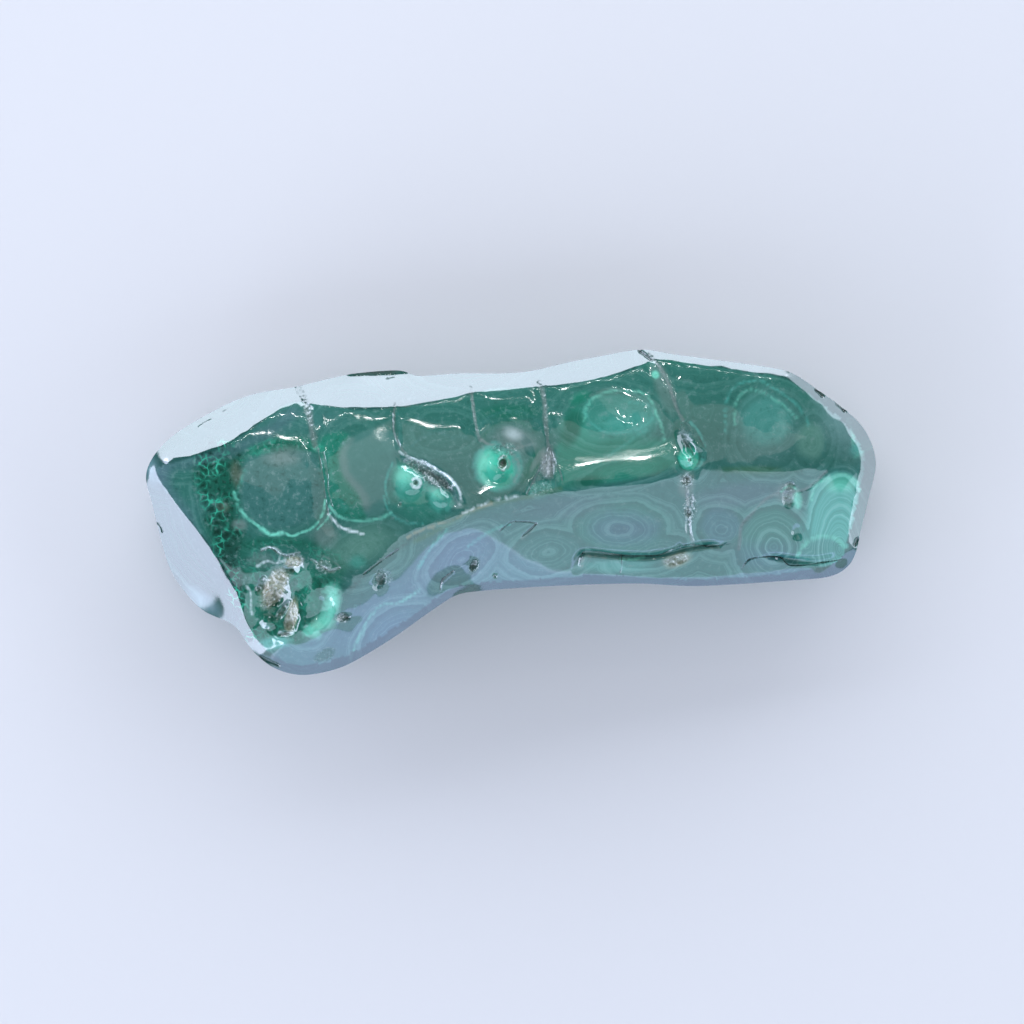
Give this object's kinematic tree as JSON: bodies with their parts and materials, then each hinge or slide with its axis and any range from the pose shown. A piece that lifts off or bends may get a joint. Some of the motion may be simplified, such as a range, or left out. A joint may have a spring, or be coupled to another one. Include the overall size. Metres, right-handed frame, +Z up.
{
  "type": "polished malachite specimen",
  "caption": "Bent, faceted freeform of banded green malachite, polished all over, with growth seams, eyes, pits and open cracks, lying on a flat ground base.",
  "frame": {"origin": "centre of the footprint's bounding box, on the plane of the flat ground base", "axes": "+X along the length of the stone towards the square end, +Y towards the straight back edge, +Z up out of the polished top"},
  "size_m": [0.12, 0.0536, 0.024],
  "materials": {
    "malachite": "polished"
  },
  "bodies": {
    "root": {"malachite_stone": "malachite"}
  },
  "joints": []
}
